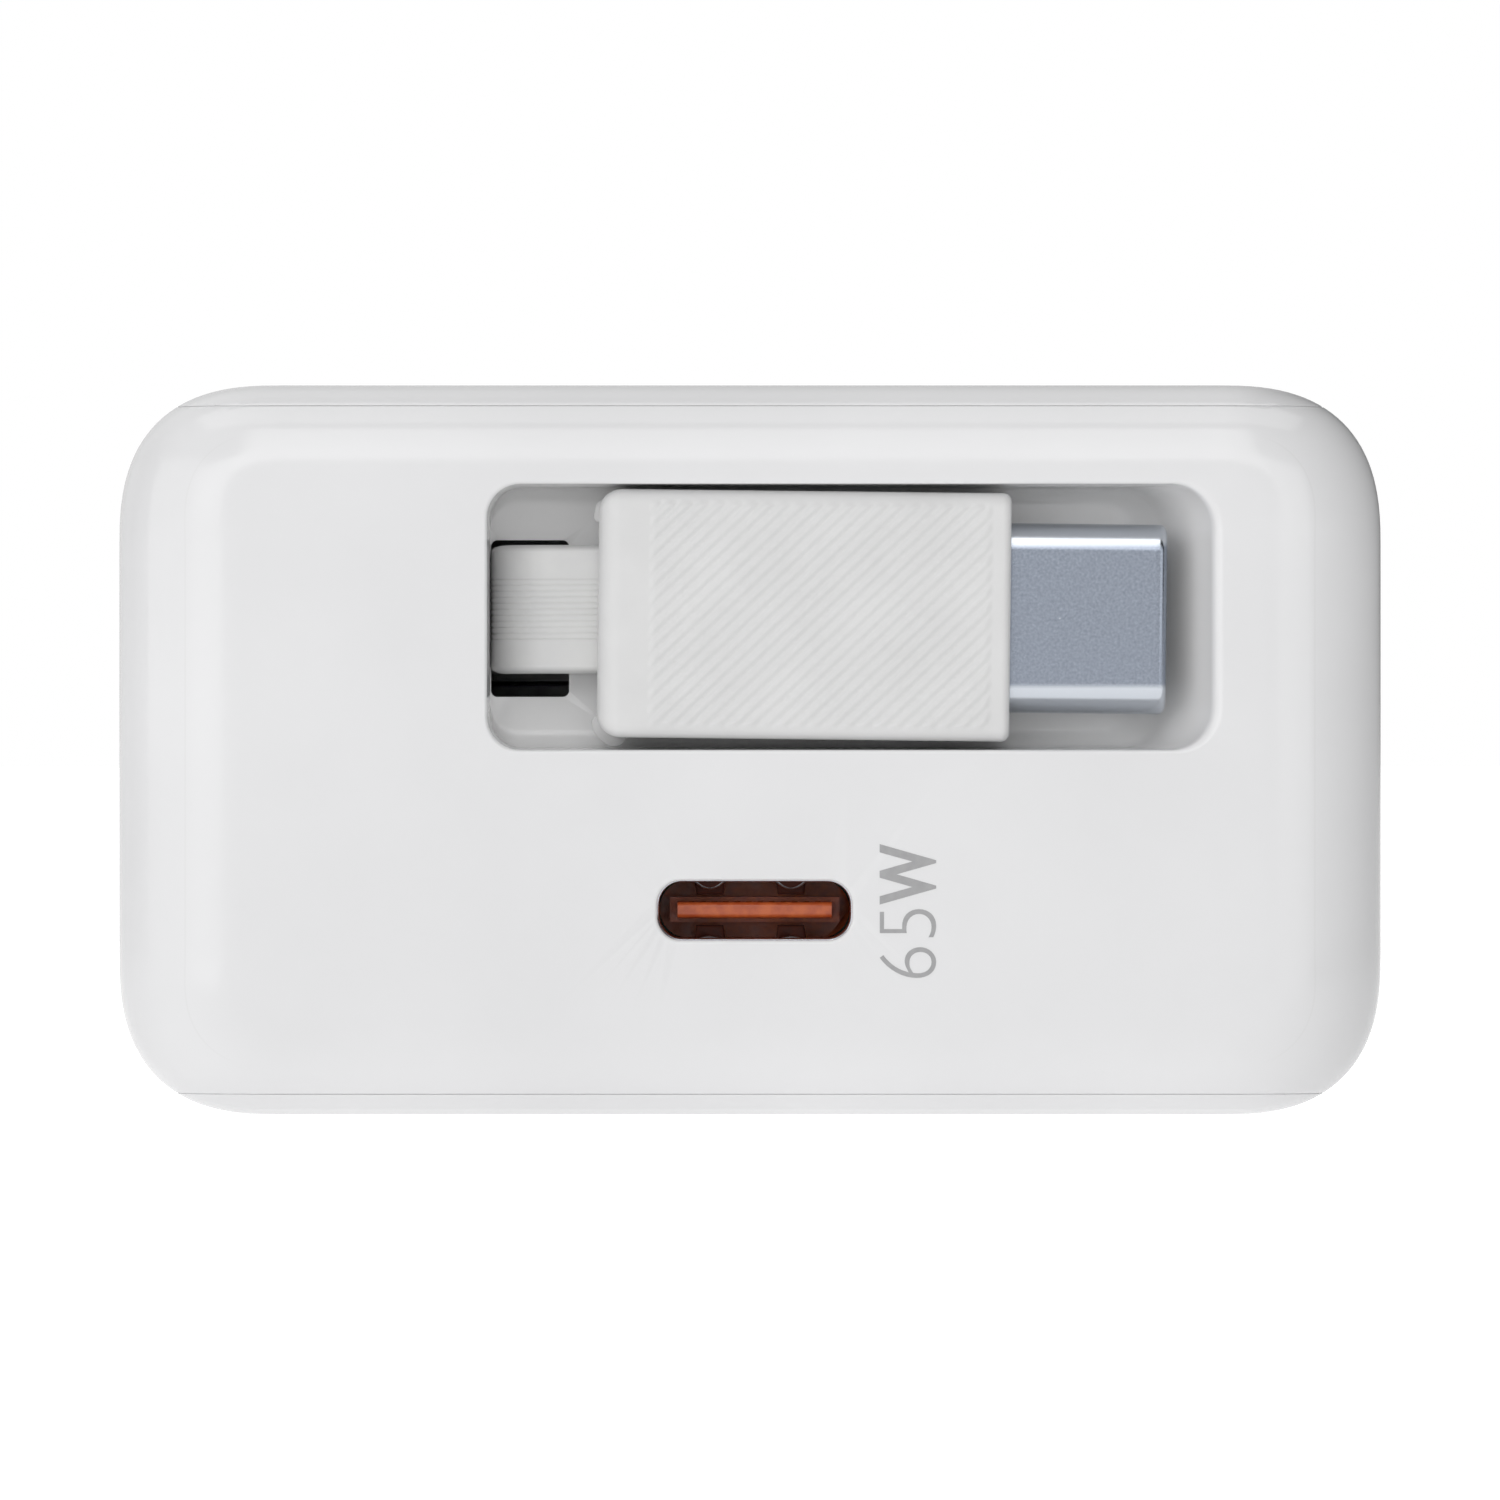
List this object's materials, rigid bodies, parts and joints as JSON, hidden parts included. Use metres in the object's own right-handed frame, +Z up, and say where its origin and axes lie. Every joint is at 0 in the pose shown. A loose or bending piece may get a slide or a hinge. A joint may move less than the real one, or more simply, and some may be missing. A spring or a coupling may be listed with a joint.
{
  "type": "laptop wall charger with retractable cable",
  "caption": "Compact white wall charger with a flat USB-C cable that winds up inside, its plug parked in a front recess, a USB-C socket and folding mains prongs at the back.",
  "frame": {"origin": "centre of the underside of the bottom side cover", "axes": "+X along the long side of the front face, towards the mouth of the parked plug; +Y into the charger, from the front face to the mains prongs; +Z up, from the bottom side cover to the top one"},
  "size_m": [0.055, 0.06, 0.0318],
  "materials": {
    "gloss_white": "moulded glossy white polycarbonate",
    "soft_white": "matte white elastomer",
    "inner_plastic": "grey glass-filled nylon",
    "black_plastic": "black moulded plastic",
    "orange_plastic": "orange moulded plastic",
    "plated_steel": "nickel-plated drawn steel",
    "spring_steel": "blued spring strip",
    "brass_blade": "nickel-flashed brass",
    "gold_contact": "gold-flashed copper",
    "copper_wire": "enamelled copper",
    "green_board": "solder-masked glass laminate",
    "ferrite": "sintered ferrite",
    "capacitor_sleeve": "sleeved aluminium can",
    "yellow_case": "yellow epoxy-filled case",
    "aluminium_sheet": "plain rolled sheet",
    "polyester_film": "polyester film",
    "fuse_body": "glazed ceramic tube"
  },
  "bodies": {
    "housing": {"main_shell": "gloss_white", "top_cover": "gloss_white", "bottom_cover": "gloss_white", "back_plate": "gloss_white", "prong_contacts": "gold_contact", "cable_guide": "black_plastic", "ribbon_run": "soft_white", "reel_axle": "plated_steel", "power_spring": "spring_steel", "brush_block": "black_plastic", "brush_contacts": "gold_contact", "reel_base": "inner_plastic", "reel_bridge": "inner_plastic", "reel_screws": "plated_steel", "socket_shell": "plated_steel", "socket_body": "orange_plastic", "socket_contacts": "gold_contact", "socket_board": "green_board", "main_board": "green_board", "board_screws": "plated_steel", "transformer_core": "ferrite", "transformer_winding": "copper_wire", "bulk_capacitors": "capacitor_sleeve", "choke_core": "ferrite", "choke_winding": "copper_wire", "interference_capacitor": "yellow_case", "fuse": "fuse_body", "bridge_rectifier": "black_plastic", "power_chips": "black_plastic", "output_capacitors": "aluminium_sheet", "heat_spreader": "aluminium_sheet", "insulating_film": "polyester_film", "board_pins": "gold_contact"},
    "cable_end": {"ribbon_lead": "soft_white"},
    "plug": {"plug_overmould": "soft_white", "plug_inner_mould": "inner_plastic", "plug_board": "green_board", "plug_shell": "plated_steel", "plug_insulator": "black_plastic", "plug_contacts": "gold_contact"},
    "reel": {"spool": "inner_plastic", "spring_cap": "inner_plastic", "ribbon_coil": "soft_white", "ring_board": "green_board", "slip_rings": "gold_contact"},
    "prongs": {"prong_carrier": "gloss_white", "prong_blades": "brass_blade"},
    "latch": {"latch_lever": "black_plastic"}
  },
  "joints": [
    {"name": "cable_pull", "type": "slide", "parent": "housing", "child": "cable_end", "axis": [0, -1, 0], "range_m": [0, 0.6], "stiffness_N_per_m": 1, "springref_m": -0.6, "deforming": ["ribbon_lead"]},
    {"name": "plug_tilt", "type": "hinge", "parent": "cable_end", "child": "plug", "pos_m": [-0.01, -0.027, 0.02175], "axis": [0, 0, -1], "range_deg": [0, 90], "deforming": ["ribbon_lead"]},
    {"name": "reel_turn", "type": "hinge", "parent": "housing", "child": "reel", "pos_m": [0.004, -0.0014, 0], "axis": [0, 0, 1], "range_deg": [0, 2300], "deforming": ["ribbon_coil", "ribbon_run", "power_spring"]},
    {"name": "prong_fold", "type": "hinge", "parent": "housing", "child": "prongs", "pos_m": [0.009, 0.0264, 0.0159], "axis": [0, 0, -1], "range_deg": [0, 90]},
    {"name": "latch_rock", "type": "hinge", "parent": "housing", "child": "latch", "pos_m": [0.016, -0.0154, 0.0276], "axis": [0, 0, 1], "range_deg": [-4, 4], "stiffness_Nm_per_rad": 0.0005}
  ],
  "couplings": [
    {"joint": "reel_turn", "follows": "cable_pull", "rad_per_m": 66.225}
  ]
}
